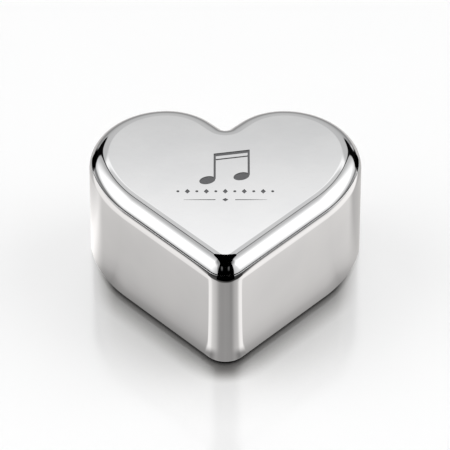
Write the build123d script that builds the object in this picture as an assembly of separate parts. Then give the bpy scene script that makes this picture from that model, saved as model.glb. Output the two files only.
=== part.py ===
from build123d import *
import math
import os

# Heart-shaped music box. Millimetres, +Z up, standing on its felt ring at z = 0, tip of the heart towards -Y.

# ---- casing ----
H = 42.0  # height to the top of the lid
R_TIP = 7.9  # vertical edge at the tip of the heart
A_SIDE = 46.9  # heading of the straight sides, degrees from +X
R_FLANK = 45.8  # gentle curve from the straight side to the lobe
A_FLANK = 75.5  # heading where the lobe starts
R_LOBE = 25.5  # outside of each lobe
R_CROWN = 21.7  # back of each lobe
A_CLEFT = 225.4  # heading of the sides of the cleft
L_CLEFT = 5.0  # straight part of the cleft's sides
R_CLEFT = 0.8  # hollow at the bottom of the cleft
Y_TIP = -42.93  # centres the whole box, hinges included, on Y = 0
WALL = 1.8
R_TOP = 6.6  # large rounding round the top
R_FOOT = 1.6  # rounding round the foot
Z_FOOT = 0.6  # casing starts above the felt
Z_SEAM = 38.2  # body ends here
SEAM = 0.25  # gap under the lid
SKIRT = 4.2  # thick wall round the recess in the base
LID_SKIN = 1.6

# ---- hinges ----
X_HINGE = 19.5
HINGE_LEN = 9.0
HINGE_Z = 35.4
HINGE_OUT = 1.0  # hinge axis behind the back of the lobes
KNUCKLE_R = 1.25
HINGE_PIN_R = 0.6
LEAF_T = 0.6

# ---- floors ----
Z_PLATE = 9.4  # underside of the bottom plate
PLATE_T = 1.2
Z_SHOULDER = Z_PLATE + PLATE_T  # top of the thick wall
Z_WINDOW = 31.4
WINDOW_T = 1.5
LINING_T = 1.8
BOSSES = [(0.0, -36.2), (-38.4, 13.0), (38.4, 13.0), (-19.5, 34.2), (19.5, 34.2)]
BOSS_R = 5.1

# ---- movement ----
Z_BED = Z_PLATE + PLATE_T
BED_T = 1.4
Z_BED_TOP = Z_BED + BED_T
XB = -13.5  # barrel axis
YC = 3.5  # barrel and cylinder axes
ZC = 23.6  # height of the cylinder's axis
DRUM_R = 13.0
CROWN_N = 48
PINION_N = 12
MOD_CROWN = 0.5
CROWN_R = CROWN_N * MOD_CROWN / 2
Z_RIM = 20.0  # foot of the crown teeth
CYL_R = 6.4
PIN_R = 7.1  # reach of the cylinder's pins
CYL_X0 = 0.8
CYL_X1 = 20.8
NOTES = 18
NOTE_PITCH = 1.05
GEAR_N = 36
LEAVES = 8
MOD_1 = 0.38
WHEEL_N = 30
MOD_2 = 0.34
WORM_N = 20
MOD_W = 0.4
WORM_R = 1.0
WORM_PITCH = math.pi * MOD_W
Y1 = YC + 7.6  # first governor wheel
Z1 = ZC - 3.49
Y2 = Y1 + 6.3  # second governor wheel
Z2 = Z1 - 1.43
X_WORM = 20.3
Y_WORM = Y2 + WORM_N * MOD_W / 2 + WORM_R


# ---------------------------------------------------------------- helpers
def cyl(r, z0, z1, x=0.0, y=0.0):
    return Pos(x, y, z0) * Cylinder(r, z1 - z0, align=(Align.CENTER, Align.CENTER, Align.MIN))


def xcyl(r, x0, x1, y, z):
    return Pos(x0, y, z) * Rot(0, 90, 0) * Cylinder(r, x1 - x0, align=(Align.CENTER, Align.CENTER, Align.MIN))


def block(x0, x1, y0, y1, z0, z1):
    return Pos(x0, y0, z0) * Box(x1 - x0, y1 - y0, z1 - z0, align=(Align.MIN, Align.MIN, Align.MIN))


def arm(angle):
    a = math.radians(angle)
    return Vector(math.cos(a), math.sin(a), 0)


def side(angle):
    a = math.radians(angle)
    return Vector(math.sin(a), -math.cos(a), 0)


def mirror_point(p):
    return Vector(-p.X, p.Y, 0)


def heart_centres():
    """Centres of the arcs of the right-hand half, from the tip round to the cleft."""
    tip = Vector(0, Y_TIP + R_TIP, 0)
    rest = Vector(0, 0, 0)
    rest += side(A_SIDE) * (R_TIP - R_FLANK)
    rest += side(A_FLANK) * (R_FLANK - R_LOBE)
    rest += side(180) * (R_LOBE - R_CROWN)
    rest += side(A_CLEFT) * (R_CROWN + R_CLEFT) + arm(A_CLEFT) * L_CLEFT
    straight = -rest.X / math.cos(math.radians(A_SIDE))
    flank = tip + side(A_SIDE) * (R_TIP - R_FLANK) + arm(A_SIDE) * straight
    lobe = flank + side(A_FLANK) * (R_FLANK - R_LOBE)
    crown = lobe + side(180) * (R_LOBE - R_CROWN)
    cleft = crown + side(A_CLEFT) * (R_CROWN + R_CLEFT) + arm(A_CLEFT) * L_CLEFT
    return tip, flank, lobe, crown, cleft


def heart(d=0.0):
    """The heart's outline as a face, moved inwards by d."""
    tip, flank, lobe, crown, cleft = heart_centres()
    t = tip + side(A_SIDE) * (R_TIP - d)
    f0 = flank + side(A_SIDE) * (R_FLANK - d)
    fm = flank + side((A_SIDE + A_FLANK) / 2) * (R_FLANK - d)
    f1 = flank + side(A_FLANK) * (R_FLANK - d)
    lm = lobe + side((A_FLANK + 180) / 2) * (R_LOBE - d)
    l1 = lobe + side(180) * (R_LOBE - d)
    cm = crown + side((180 + A_CLEFT) / 2) * (R_CROWN - d)
    c1 = crown + side(A_CLEFT) * (R_CROWN - d)
    k0 = cleft - side(A_CLEFT) * (R_CLEFT + d)
    k1 = cleft - side(180) * (R_CLEFT + d)
    right = [
        Line(t, f0),
        ThreePointArc(f0, fm, f1),
        ThreePointArc(f1, lm, l1),
        ThreePointArc(l1, cm, c1),
        Line(c1, k0),
    ]
    mt, mf0, mfm, mf1 = [mirror_point(p) for p in (t, f0, fm, f1)]
    mlm, ml1, mcm, mc1, mk0 = [mirror_point(p) for p in (lm, l1, cm, c1, k0)]
    left = [
        Line(mk0, mc1),
        ThreePointArc(mc1, mcm, ml1),
        ThreePointArc(ml1, mlm, mf1),
        ThreePointArc(mf1, mfm, mf0),
        Line(mf0, mt),
    ]
    edges = right + [ThreePointArc(k0, k1, mk0)] + left
    edges.append(ThreePointArc(mt, Vector(0, Y_TIP + d, 0), t))
    return make_face(Wire([e.edge() for e in edges]))


def prism(d, z0, z1):
    return Pos(0, 0, z0) * extrude(heart(d), z1 - z0)


def back_of_lobes():
    lobe = heart_centres()[2]
    return lobe.Y + R_LOBE


Y_HINGE = back_of_lobes() + HINGE_OUT


# ---------------------------------------------------------------- casing
def outer_block():
    solid = prism(0, Z_FOOT, H)
    solid = fillet(solid.faces().sort_by(Axis.Z)[-1].edges(), R_TOP)
    return fillet(solid.faces().sort_by(Axis.Z)[0].edges(), R_FOOT)


def inner_block():
    solid = prism(WALL, Z_SHOULDER, H - LID_SKIN)
    return fillet(solid.faces().sort_by(Axis.Z)[-1].edges(), R_TOP - WALL)


OUTER = outer_block()
INNER = inner_block()


def body_shell():
    shell = OUTER & block(-60, 60, -60, 60, 0, Z_SEAM)
    shell -= INNER
    shell -= prism(SKIRT, 0, Z_SHOULDER + 1)
    limit = prism(WALL - 0.6, Z_BED, Z_WINDOW)
    for x, y in BOSSES:
        shell += cyl(BOSS_R, Z_BED, Z_WINDOW, x, y) & limit
    for x, y in BOSSES:
        shell -= cyl(0.9, Z_BED - 1, Z_BED + 7, x, y)
    for x in (-X_HINGE, X_HINGE):
        shell -= xcyl(KNUCKLE_R + 0.08, x - 1.6, x + 1.6, Y_HINGE, HINGE_Z)
    return shell


def lid_shell():
    lid = OUTER & block(-60, 60, -60, 60, Z_SEAM + SEAM, H + 1)
    return lid - INNER


def lid_pad():
    return prism(6.9, 38.9, H - LID_SKIN)


def base_felt():
    return prism(1.7, 0, Z_FOOT) - prism(SKIRT - 0.1, -1, Z_FOOT + 1)


def velvet_lining():
    lining = prism(WALL + 0.02, Z_WINDOW + WINDOW_T, 37.6) & INNER
    return lining - prism(WALL + LINING_T, Z_WINDOW, H)


def knuckles(x, spans):
    out = []
    for x0, x1 in spans:
        out.append(xcyl(KNUCKLE_R, x + x0, x + x1, Y_HINGE, HINGE_Z))
    return out


def hinge_bore(x):
    return xcyl(HINGE_PIN_R + 0.03, x - HINGE_LEN, x + HINGE_LEN, Y_HINGE, HINGE_Z)


def body_leaf(x):
    h = HINGE_LEN / 2
    plate = block(x - h, x + h, Y_HINGE - 3, Y_HINGE - HINGE_OUT + LEAF_T, 28.5, HINGE_Z)
    ends = knuckles(x, [(-h, -1.6), (1.6, h)])
    plate -= block(x - 1.6, x + 1.6, Y_HINGE - 4, Y_HINGE + 2, HINGE_Z - KNUCKLE_R - 0.15, H)
    plate += ends
    return plate - hinge_bore(x) - OUTER


def lid_leaf(x):
    outline = [(0.12, HINGE_Z), (LEAF_T, HINGE_Z), (LEAF_T, 37.6), (-0.1, 38.44), (-1.0, 39.2), (-1.6, 39.2)]
    outline += [(-1.6, 38.5), (-0.6, 38.5), (-0.25, 38.15), (0.12, 37.3), (0.12, HINGE_Z)]
    strip = Polyline([(Y_HINGE - HINGE_OUT + y, z) for y, z in outline])
    plate = Pos(x - 1.5, 0, 0) * extrude(Plane.YZ * make_face(strip.wire()), 3.0)
    plate -= OUTER
    plate += knuckles(x, [(-1.5, 1.5)])
    return plate - hinge_bore(x)


def hinge_body_leaves():
    return [body_leaf(-X_HINGE), body_leaf(X_HINGE)]


def hinge_lid_leaves():
    return [lid_leaf(-X_HINGE), lid_leaf(X_HINGE)]


def hinge_pins():
    h = HINGE_LEN / 2
    return [xcyl(HINGE_PIN_R, x - h - 0.2, x + h + 0.2, Y_HINGE, HINGE_Z) for x in (-X_HINGE, X_HINGE)]


def pan_screw(x, y, z, head_r, head_h, shank_r, length):
    """Slotted screw driven upwards; z is the underside of what it holds."""
    screw = cyl(head_r, z - head_h, z, x, y) + cyl(shank_r, z - 0.2, z + length, x, y)
    return screw - block(x - head_r - 1, x + head_r + 1, y - 0.3, y + 0.3, z - head_h - 1, z - head_h * 0.5)


def down_screw(x, y, z, head_r, head_h, shank_r, length):
    """Slotted screw driven downwards; z is the top of what it holds."""
    screw = cyl(head_r, z, z + head_h, x, y) + cyl(shank_r, z - length, z + 0.2, x, y)
    return screw - block(x - head_r - 1, x + head_r + 1, y - 0.25, y + 0.25, z + head_h * 0.5, z + head_h + 1)


MOVEMENT_SCREWS = [(-22.5, YC - 13.5), (-7.0, YC + 19.0), (13.0, YC - 9.5)]


def bottom_plate():
    plate = prism(SKIRT + 0.2, Z_PLATE, Z_BED)
    for x, y in BOSSES:
        plate -= cyl(1.15, Z_PLATE - 1, Z_BED + 1, x, y)
    for x, y in MOVEMENT_SCREWS:
        plate -= cyl(1.15, Z_PLATE - 1, Z_BED + 1, x, y)
    plate -= cyl(2.2, Z_PLATE - 1, Z_BED + 1, XB, YC)
    for k in range(6):
        spot = arm(60 * k) * 6.0
        plate -= cyl(1.3, Z_PLATE - 1, Z_BED + 1, spot.X, spot.Y - 24.0)
    return plate - cyl(1.3, Z_PLATE - 1, Z_BED + 1, 0, -24.0)


def bottom_plate_screws():
    return [pan_screw(x, y, Z_PLATE, 1.8, 1.1, 0.88, 6.0) for x, y in BOSSES]


def movement_window():
    window = prism(WALL + 1.2, Z_WINDOW, Z_WINDOW + WINDOW_T)
    return window - cyl(2.05, Z_WINDOW - 1, Z_WINDOW + WINDOW_T + 1, X_WORM, Y_WORM)


# ---------------------------------------------------------------- gears
def involute(a):
    return math.tan(a) - a


def tooth_half(n, m, thin, rho):
    """Half the angle that a tooth takes up at radius rho."""
    pitch = n * m / 2
    base = pitch * math.cos(math.radians(20))
    a = math.acos(min(1.0, base / max(rho, base)))
    return (math.pi * m / 2 - thin) / (2 * pitch) + involute(math.radians(20)) - involute(a)


def gear_face(n, m, thin, phase=0.0, add=0.9, ded=1.2):
    pitch = n * m / 2
    root = pitch - ded * m
    top = pitch + add * m
    radii = [root, pitch * math.cos(math.radians(20)), pitch, pitch + add * m / 2, top]
    radii = sorted(r for r in radii if r >= root)
    points = []
    for k in range(n):
        mid = math.radians(phase) + 2 * math.pi * k / n
        for r in radii:
            a = mid - tooth_half(n, m, thin, r)
            points.append((r * math.cos(a), r * math.sin(a)))
        for r in reversed(radii):
            a = mid + tooth_half(n, m, thin, r)
            points.append((r * math.cos(a), r * math.sin(a)))
    points.append(points[0])
    return make_face(Polyline(points).wire())


def xgear(n, m, thin, toward, x0, x1, y, z):
    """Spur gear on an axis along X, with a tooth pointing at the angle toward, measured from +Y to +Z."""
    return Pos(x0, y, z) * Rot(0, 90, 0) * extrude(gear_face(n, m, thin, toward + 90), x1 - x0)


def bearing(y0, z0, y1, z1):
    return math.degrees(math.atan2(z1 - z0, y1 - y0))


TO_1 = bearing(YC, ZC, Y1, Z1)
TO_2 = bearing(Y1, Z1, Y2, Z2)


# ---------------------------------------------------------------- barrel
def crown_tooth(k):
    half = math.pi * MOD_CROWN / 4 - 0.12
    slope = math.tan(math.radians(20))
    z0 = -0.1
    z1 = 2.1 * MOD_CROWN
    mid = 1.15 * MOD_CROWN
    w0 = half + slope * (mid - z0)
    w1 = half - slope * (z1 - mid)
    outline = Polyline([(-w0, z0), (w0, z0), (w1, z1), (-w1, z1), (-w0, z0)])
    tooth = extrude(Plane.YZ * make_face(outline.wire()), 1.7)
    turn = 360.0 / CROWN_N * (k + 0.5)
    return Pos(XB, YC, Z_RIM) * Rot(0, 0, turn) * Pos(11.15, 0, 0) * tooth


def barrel_drum():
    drum = cyl(DRUM_R, Z_BED_TOP + 0.4, Z_RIM, XB, YC)
    drum -= cyl(11.0, Z_BED_TOP + 1.3, Z_RIM + 1, XB, YC)
    drum -= cyl(1.58, Z_BED_TOP, Z_BED_TOP + 2, XB, YC)
    return drum + [crown_tooth(k) for k in range(CROWN_N)]


def barrel_cap():
    cap = cyl(10.95, Z_RIM - 1.2, Z_RIM - 0.4, XB, YC)
    return cap - cyl(1.58, Z_RIM - 2, Z_RIM + 1, XB, YC)


def mainspring():
    inner = 3.5
    outer = 10.6
    turns = 7
    strip = 0.28
    near = []
    far = []
    steps = turns * 12
    for k in range(steps + 1):
        a = 2 * math.pi * turns * k / steps
        r = inner + (outer - inner) * k / steps
        near.append((r * math.cos(a), r * math.sin(a)))
        far.append(((r + strip) * math.cos(a), (r + strip) * math.sin(a)))
    edges = [Spline(near).edge(), Line(near[-1], far[-1]).edge()]
    edges += [Spline(far).edge(), Line(far[0], near[0]).edge()]
    return Pos(XB, YC, Z_BED_TOP + 1.5) * extrude(make_face(Wire(edges)), 4.9)


def winding_arbor():
    arbor = cyl(1.3, 4.2, 9.0, XB, YC) + cyl(1.5, 9.0, 27.2, XB, YC)
    arbor += cyl(3.0, Z_BED_TOP + 1.5, Z_RIM - 1.4, XB, YC)
    return arbor - block(XB - 0.35, XB + 0.35, YC - 2, YC + 2, 26.4, 28)


def key_wing(sign):
    wing = Pos(0, 5.6, 0) * Ellipse(4.6, 3.3)
    wing -= Pos(0, 6.2, 0) * Ellipse(2.0, 1.3)
    plate = extrude(wing, 0.7, both=True)
    return Pos(XB, YC, 4.9) * Rot(0, 0, 90 * sign) * Rot(0, 90, 0) * plate


def winding_key():
    key = cyl(2.5, 3.0, 8.9, XB, YC) + [key_wing(1), key_wing(-1)]
    key = key & block(XB - 20, XB + 20, YC - 20, YC + 20, 1.4, 8.9)
    return key - cyl(1.3, 4.2, 12, XB, YC)


BRIDGE_FEET = [(XB + 14.6 * math.cos(math.radians(a)), YC + 14.6 * math.sin(math.radians(a))) for a in
               (95, 180, 265)]
Z_BRIDGE = 21.9


def barrel_bridge():
    bridge = cyl(9.0, Z_BRIDGE, Z_BRIDGE + 1.2, XB, YC)
    for x, y in BRIDGE_FEET:
        turn = math.degrees(math.atan2(y - YC, x - XB))
        bridge += Pos(XB, YC, Z_BRIDGE) * Rot(0, 0, turn) * block(0, 14.6, -2.4, 2.4, 0, 1.2)
        bridge += cyl(2.4, Z_BRIDGE, Z_BRIDGE + 1.2, x, y)
    bridge -= block(XB + 8.0, XB + 20, YC - 20, YC + 20, Z_BRIDGE - 1, Z_BRIDGE + 3)
    bridge += block(XB + 5.6, XB + 7.6, YC - 2.2, YC + 2.2, Z_BRIDGE, ZC + 2.0)
    bridge -= xcyl(0.93, XB + 5, XB + 9, YC, ZC)
    bridge -= cyl(1.55, Z_BRIDGE - 1, Z_BRIDGE + 2, XB, YC)
    for x, y in BRIDGE_FEET:
        bridge -= cyl(0.95, Z_BRIDGE - 1, Z_BRIDGE + 2, x, y)
    return bridge


def bridge_pillars():
    out = []
    for x, y in BRIDGE_FEET:
        pillar = cyl(1.5, Z_BED_TOP, Z_BRIDGE, x, y)
        out.append(pillar - cyl(0.7, Z_BRIDGE - 5, Z_BRIDGE + 1, x, y))
    return out


def bridge_screws():
    return [down_screw(x, y, Z_BRIDGE + 1.2, 1.5, 0.8, 0.68, 5.0) for x, y in BRIDGE_FEET]


def coil(radius, wire, pitch, turns, x, y, z):
    path = Helix(pitch, pitch * turns, radius)
    start = Plane(origin=path @ 0, z_dir=path % 0)
    return Pos(x, y, z) * sweep(start * Circle(wire), path=path, is_frenet=True)


def clutch_spring():
    z0 = Z_BRIDGE + 1.55
    spring = coil(1.86, 0.28, 0.62, 4.0, XB, YC, z0)
    return spring


# ---------------------------------------------------------------- cylinder and comb
def note_x(k):
    return (CYL_X0 + CYL_X1) / 2 + (k - (NOTES - 1) / 2) * NOTE_PITCH


def music_cylinder():
    drum = xcyl(CYL_R, CYL_X0, CYL_X1, YC, ZC) - xcyl(CYL_R - 0.7, CYL_X0 + 0.8, CYL_X1 - 0.8, YC, ZC)
    drum -= xcyl(0.9, CYL_X0 - 1, CYL_X1 + 1, YC, ZC)
    pins = []
    for k in range(90):
        track = (k * 7 + (k // 6) * 2 + (k * k) % 5) % NOTES
        pin = Pos(note_x(track), YC, ZC) * Rot(4.0 * k, 0, 0) * cyl(0.17, CYL_R - 0.4, PIN_R)
        pins.append(pin)
    return drum + pins


def cylinder_shaft():
    return xcyl(0.9, XB + 5.8, 25.6, YC, ZC)


def cylinder_pinion():
    x = XB + CROWN_R
    pinion = xgear(PINION_N, MOD_CROWN, 0.24, -90, x - 0.6, x + 0.6, YC, ZC)
    pinion += xcyl(2.0, x + 0.6, CYL_X0, YC, ZC)
    return pinion - xcyl(0.9, x - 2, x + 4, YC, ZC)


def cylinder_gear():
    gear = xgear(GEAR_N, MOD_1, 0.16, TO_1, 22.8, 24.0, YC, ZC)
    gear += xcyl(2.0, CYL_X1, 22.8, YC, ZC)
    return gear - xcyl(0.9, 20, 25, YC, ZC)


Y_TINE = YC - PIN_R - 0.2
COMB_X0 = note_x(0) - NOTE_PITCH / 2
COMB_X1 = note_x(NOTES - 1) + NOTE_PITCH / 2
Y_COMB = YC - 18.1  # back edge of the comb
Y_ROOT = YC - 12.7  # where the teeth spring from the thick part
COMB_SCREWS = [(COMB_X0 + 3.2, YC - 15.7), (COMB_X1 - 3.2, YC - 15.7)]


def comb():
    plate = block(COMB_X0, COMB_X1, Y_COMB, Y_TINE, ZC - 0.7, ZC + 0.7)
    plate -= block(COMB_X0 - 1, COMB_X1 + 1, Y_ROOT, Y_TINE + 1, ZC + 0.25, ZC + 2)
    plate -= block(COMB_X0 - 1, COMB_X1 + 1, Y_ROOT, Y_TINE + 1, ZC - 2, ZC - 0.25)
    for k in range(NOTES - 1):
        x = note_x(k) + NOTE_PITCH / 2
        root = Y_ROOT - 0.2 + 2.6 * k / (NOTES - 2)
        plate -= block(x - 0.11, x + 0.11, root, Y_TINE + 1, ZC - 2, ZC + 2)
    for x, y in COMB_SCREWS:
        plate -= cyl(1.1, ZC - 2, ZC + 2, x, y)
    return plate


def comb_base():
    base = block(COMB_X0, COMB_X1, Y_COMB, Y_ROOT - 0.4, Z_BED_TOP, ZC - 0.7)
    base -= block(COMB_X0 + 6.2, COMB_X1 - 6.2, Y_COMB - 1, Y_ROOT, Z_BED_TOP + 2.0, ZC - 3.0)
    for x, y in COMB_SCREWS:
        base -= cyl(0.9, ZC - 6, ZC, x, y)
    return base


def comb_screws():
    return [down_screw(x, y, ZC + 0.7, 1.7, 1.0, 0.88, 5.0) for x, y in COMB_SCREWS]


# ---------------------------------------------------------------- governor
GOVERNOR_SCREWS = [(16.3, Y2 + 1.5), (16.3, Y_WORM + 2.0)]


def governor_frame():
    foot = block(14.2, 25.8, Y1 - 1.0, Y_WORM + 3.6, Z_BED_TOP, Z_BED_TOP + 1.0)
    right = block(24.6, 25.8, YC - 2.4, Y1, Z_BED_TOP, ZC + 2.4)
    right += block(24.6, 25.8, Y1 - 1, Y_WORM + 2.6, Z_BED_TOP, 30.2)
    right -= block(24.0, 26.5, Y1 - 1.0, Y_WORM - 2.6, Z1 + 2.6, 31)
    left = block(18.4, 19.3, Y1 - 1.0, Y2 + 2.2, Z_BED_TOP, Z1 + 1.6)
    left -= xcyl(PIN_R + 0.25, 18, 20, YC, ZC)
    arm_over = block(X_WORM - 1.8, 25.8, Y_WORM - 2.6, Y_WORM + 2.6, 29.0, 30.2)
    frame = foot + right + left + arm_over
    frame += cyl(1.4, Z_BED_TOP, 14.0, X_WORM, Y_WORM)
    frame -= cyl(0.48, Z_BED_TOP + 0.6, 31, X_WORM, Y_WORM)
    frame -= xcyl(0.93, 24, 26.5, YC, ZC)
    for y, z in ((Y1, Z1), (Y2, Z2)):
        frame -= xcyl(0.43, 18, 26.5, y, z)
    for x, y in GOVERNOR_SCREWS:
        frame -= cyl(0.95, Z_BED_TOP - 1, Z_BED_TOP + 2, x, y)
    return frame


def governor_screws():
    return [down_screw(x, y, Z_BED_TOP + 1.0, 1.5, 0.8, 0.78, 2.0) for x, y in GOVERNOR_SCREWS]


def governor_wheel_1():
    wheel = xcyl(0.4, 18.5, 25.7, Y1, Z1)
    wheel += xgear(LEAVES, MOD_1, 0.14, TO_1 + 180 + 180 / LEAVES, 22.7, 24.1, Y1, Z1)
    wheel += xgear(WHEEL_N, MOD_2, 0.14, TO_2, 21.35, 22.15, Y1, Z1)
    return wheel


def governor_wheel_2():
    wheel = xcyl(0.4, 18.5, 25.7, Y2, Z2)
    wheel += xgear(LEAVES, MOD_2, 0.12, TO_2 + 180 + 180 / LEAVES, 21.25, 22.25, Y2, Z2)
    wheel += xgear(WORM_N, MOD_W, 0.26, 180 / WORM_N, X_WORM - 0.5, X_WORM + 0.5, Y2, Z2)
    return wheel


def governor_worm():
    worm = cyl(0.45, Z_BED_TOP + 0.9, 30.5, X_WORM, Y_WORM)
    worm += cyl(0.62, 15.6, 22.4, X_WORM, Y_WORM)
    worm += cyl(1.2, 30.35, 30.75, X_WORM, Y_WORM)
    path = Helix(WORM_PITCH, 4 * WORM_PITCH, 0.85)
    tooth = Polyline([(-0.35, -0.34), (0.4, -0.16), (0.4, 0.16), (-0.35, 0.34), (-0.35, -0.34)])
    profile = Plane(origin=path @ 0, x_dir=(1, 0, 0), z_dir=(0, -1, 0)) * make_face(tooth.wire())
    thread = sweep(profile, path=path, is_frenet=True)
    worm += Pos(X_WORM, Y_WORM, Z2 - 1.75 * WORM_PITCH) * thread
    return worm


def fly():
    hub = cyl(1.0, 24.2, 28.6, X_WORM, Y_WORM)
    vane = block(X_WORM - 3.9, X_WORM + 3.9, Y_WORM - 0.16, Y_WORM + 0.16, 24.6, 28.4)
    return hub + vane - cyl(0.45, 20, 32, X_WORM, Y_WORM)


# ---------------------------------------------------------------- lid stop
def stop_plunger():
    rod = cyl(0.9, 30.85, 38.0, X_WORM, Y_WORM)
    return rod + cyl(1.9, 36.4, 38.0, X_WORM, Y_WORM) + cyl(1.3, 38.0, 38.75, X_WORM, Y_WORM)


def stop_bush():
    bush = cyl(2.03, 31.0, 33.4, X_WORM, Y_WORM) + cyl(2.9, 32.9, 33.4, X_WORM, Y_WORM)
    return bush - cyl(0.98, 30, 34, X_WORM, Y_WORM)


def stop_spring():
    return coil(1.4, 0.16, 0.66, 4.0, X_WORM, Y_WORM, 33.6)


# ---------------------------------------------------------------- bedplate
def bedplate():
    outline = [(-30.6, -6.5), (-24.0, -17.0), (-6.0, -19.0), (21.0, -19.0), (27.0, -9.0), (27.0, 20.0)]
    outline += [(24.0, 22.7), (4.0, 22.7), (-12.0, 22.7), (-30.6, 12.0), (-30.6, -6.5)]
    outline = [(x, y + YC) for x, y in outline]
    plate = Pos(0, 0, Z_BED) * extrude(make_face(Polyline(outline).wire()), BED_T)
    plate -= cyl(1.55, Z_BED - 1, Z_BED_TOP + 1, XB, YC)
    for x, y in MOVEMENT_SCREWS:
        plate -= cyl(0.95, Z_BED - 1, Z_BED_TOP + 1, x, y)
    for x, y in GOVERNOR_SCREWS:
        plate -= cyl(0.8, Z_BED, Z_BED_TOP + 1, x, y)
    return plate


def movement_screws():
    return [pan_screw(x, y, Z_PLATE, 1.8, 1.1, 0.93, 2.4) for x, y in MOVEMENT_SCREWS]


NODES = {
    "lid_shell": lid_shell,
    "lid_pad": lid_pad,
    "hinge_lid_leaves": hinge_lid_leaves,
    "body_shell": body_shell,
    "hinge_body_leaves": hinge_body_leaves,
    "hinge_pins": hinge_pins,
    "bottom_plate": bottom_plate,
    "bottom_plate_screws": bottom_plate_screws,
    "base_felt": base_felt,
    "velvet_lining": velvet_lining,
    "movement_window": movement_window,
    "bedplate": bedplate,
    "movement_screws": movement_screws,
    "barrel_drum": barrel_drum,
    "barrel_cap": barrel_cap,
    "mainspring": mainspring,
    "winding_arbor": winding_arbor,
    "winding_key": winding_key,
    "barrel_bridge": barrel_bridge,
    "bridge_pillars": bridge_pillars,
    "bridge_screws": bridge_screws,
    "clutch_spring": clutch_spring,
    "music_cylinder": music_cylinder,
    "cylinder_shaft": cylinder_shaft,
    "cylinder_pinion": cylinder_pinion,
    "cylinder_gear": cylinder_gear,
    "comb": comb,
    "comb_base": comb_base,
    "comb_screws": comb_screws,
    "governor_frame": governor_frame,
    "governor_screws": governor_screws,
    "governor_wheel_1": governor_wheel_1,
    "governor_wheel_2": governor_wheel_2,
    "governor_worm": governor_worm,
    "fly": fly,
    "stop_plunger": stop_plunger,
    "stop_bush": stop_bush,
    "stop_spring": stop_spring,
}


def solids_of(made):
    out = []
    for item in made if isinstance(made, list) else [made]:
        out += list(item.solids())
    return out


os.makedirs("parts", exist_ok=True)
for name, make in NODES.items():
    solids = solids_of(make())
    shape = solids[0] if len(solids) == 1 else Compound(children=solids)
    export_step(shape, "parts/" + name + ".step")
    box = shape.bounding_box()
    low = tuple(round(v, 2) for v in box.min)
    high = tuple(round(v, 2) for v in box.max)
    print(name, len(solids), low, high, round(shape.volume, 3), shape.is_valid)
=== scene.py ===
import math

import bpy
import numpy as np
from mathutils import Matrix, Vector
from mathutils.geometry import delaunay_2d_cdt


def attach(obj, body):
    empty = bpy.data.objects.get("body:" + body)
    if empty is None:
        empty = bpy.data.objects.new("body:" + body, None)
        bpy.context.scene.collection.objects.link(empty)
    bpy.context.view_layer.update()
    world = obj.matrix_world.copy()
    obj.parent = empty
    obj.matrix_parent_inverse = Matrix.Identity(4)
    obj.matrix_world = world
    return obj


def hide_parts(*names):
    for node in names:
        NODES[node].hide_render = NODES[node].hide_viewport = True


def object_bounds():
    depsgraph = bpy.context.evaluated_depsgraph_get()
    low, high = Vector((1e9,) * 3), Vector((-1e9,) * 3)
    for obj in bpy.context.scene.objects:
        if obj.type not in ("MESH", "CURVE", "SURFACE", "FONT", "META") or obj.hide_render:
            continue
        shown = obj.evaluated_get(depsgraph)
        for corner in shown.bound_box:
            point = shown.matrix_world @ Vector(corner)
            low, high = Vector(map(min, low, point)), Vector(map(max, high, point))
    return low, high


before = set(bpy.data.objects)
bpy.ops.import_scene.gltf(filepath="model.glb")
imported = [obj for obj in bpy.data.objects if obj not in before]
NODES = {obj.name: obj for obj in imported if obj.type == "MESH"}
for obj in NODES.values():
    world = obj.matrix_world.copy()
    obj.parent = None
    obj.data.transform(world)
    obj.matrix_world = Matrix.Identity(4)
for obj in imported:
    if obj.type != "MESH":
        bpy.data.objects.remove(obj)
CAD_LOW, CAD_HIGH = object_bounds()
MM = 0.001

# ---- the heart, in millimetres, as in the CAD ----
TOP = 42.0
TIP_R, SIDE_AT = 7.9, 46.9
FLANK_R, FLANK_AT = 45.8, 75.5
LOBE_R, CROWN_R = 25.5, 21.7
CLEFT_AT, CLEFT_LEN, CLEFT_R = 225.4, 5.0, 0.8
TIP_Y = -42.93
WALL, SKIRT = 1.8, 4.2
TOP_R, FOOT_R = 6.6, 1.6
FOOT_Z, SEAM_Z, LID_Z = 0.6, 38.2, 38.45
SHOULDER_Z, CEILING_Z = 10.6, 40.4
BOSSES = [(0.0, -36.2), (-38.4, 13.0), (38.4, 13.0), (-19.5, 34.2), (19.5, 34.2)]
BOSS_R, BOSS_TOP = 5.1, 31.34  # the tops stay just clear of the window

# ---- the meshed shells, in millimetres ----
EDGE = 0.1  # height of the softened edges at the seam
EDGE_NEAR, EDGE_FAR = 0.03, 0.12  # how far in those edges' points lie
ENGRAVING_DEPTH = 0.14
BOSS_STEPS = 40
LOBE_POINT = 60  # a point of the outline on the right lobe's arc
BOSS_INSET = 1.0  # keeps a boss inside the wall
CREASE = 0.02  # normals further apart than this make a sharp edge

# ---- the lid pad ----
PAD_SCALE = 10.0 * MM  # ten times full size, for the cloth solver
PAD_VOXEL = 0.0066
PAD_PRESSURE, PAD_FRAMES = 4.0, 20
PAD_GLUED_Z, PAD_LOW_Z = 40.2, 39.95  # above the first it is held, below the second it is the face of the pad
PAD_CAP = 6.0 * MM  # furthest that the cloth solver may move a point, at the enlarged size
PAD_BACK_Z, PAD_FACE_Z, PAD_LOWEST_Z = 40.36, 39.72, 38.97
PAD_CROWN, PAD_SHARE = 0.62, 0.2  # depth of the crown, and share of the solver's movement in height
PAD_RIM, PAD_RISE, PAD_CURVE = 7.0, 9.0, 0.6

# ---- the camera ----
CAMERA_AIM = (0.0, 0.00244, 0.0212)
CAMERA_ELEVATION, CAMERA_FAR = 41.0, 1.53
CAMERA_LENS, CAMERA_SENSOR, CAMERA_SHIFT = 369.7, 36.0, -0.0007

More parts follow.
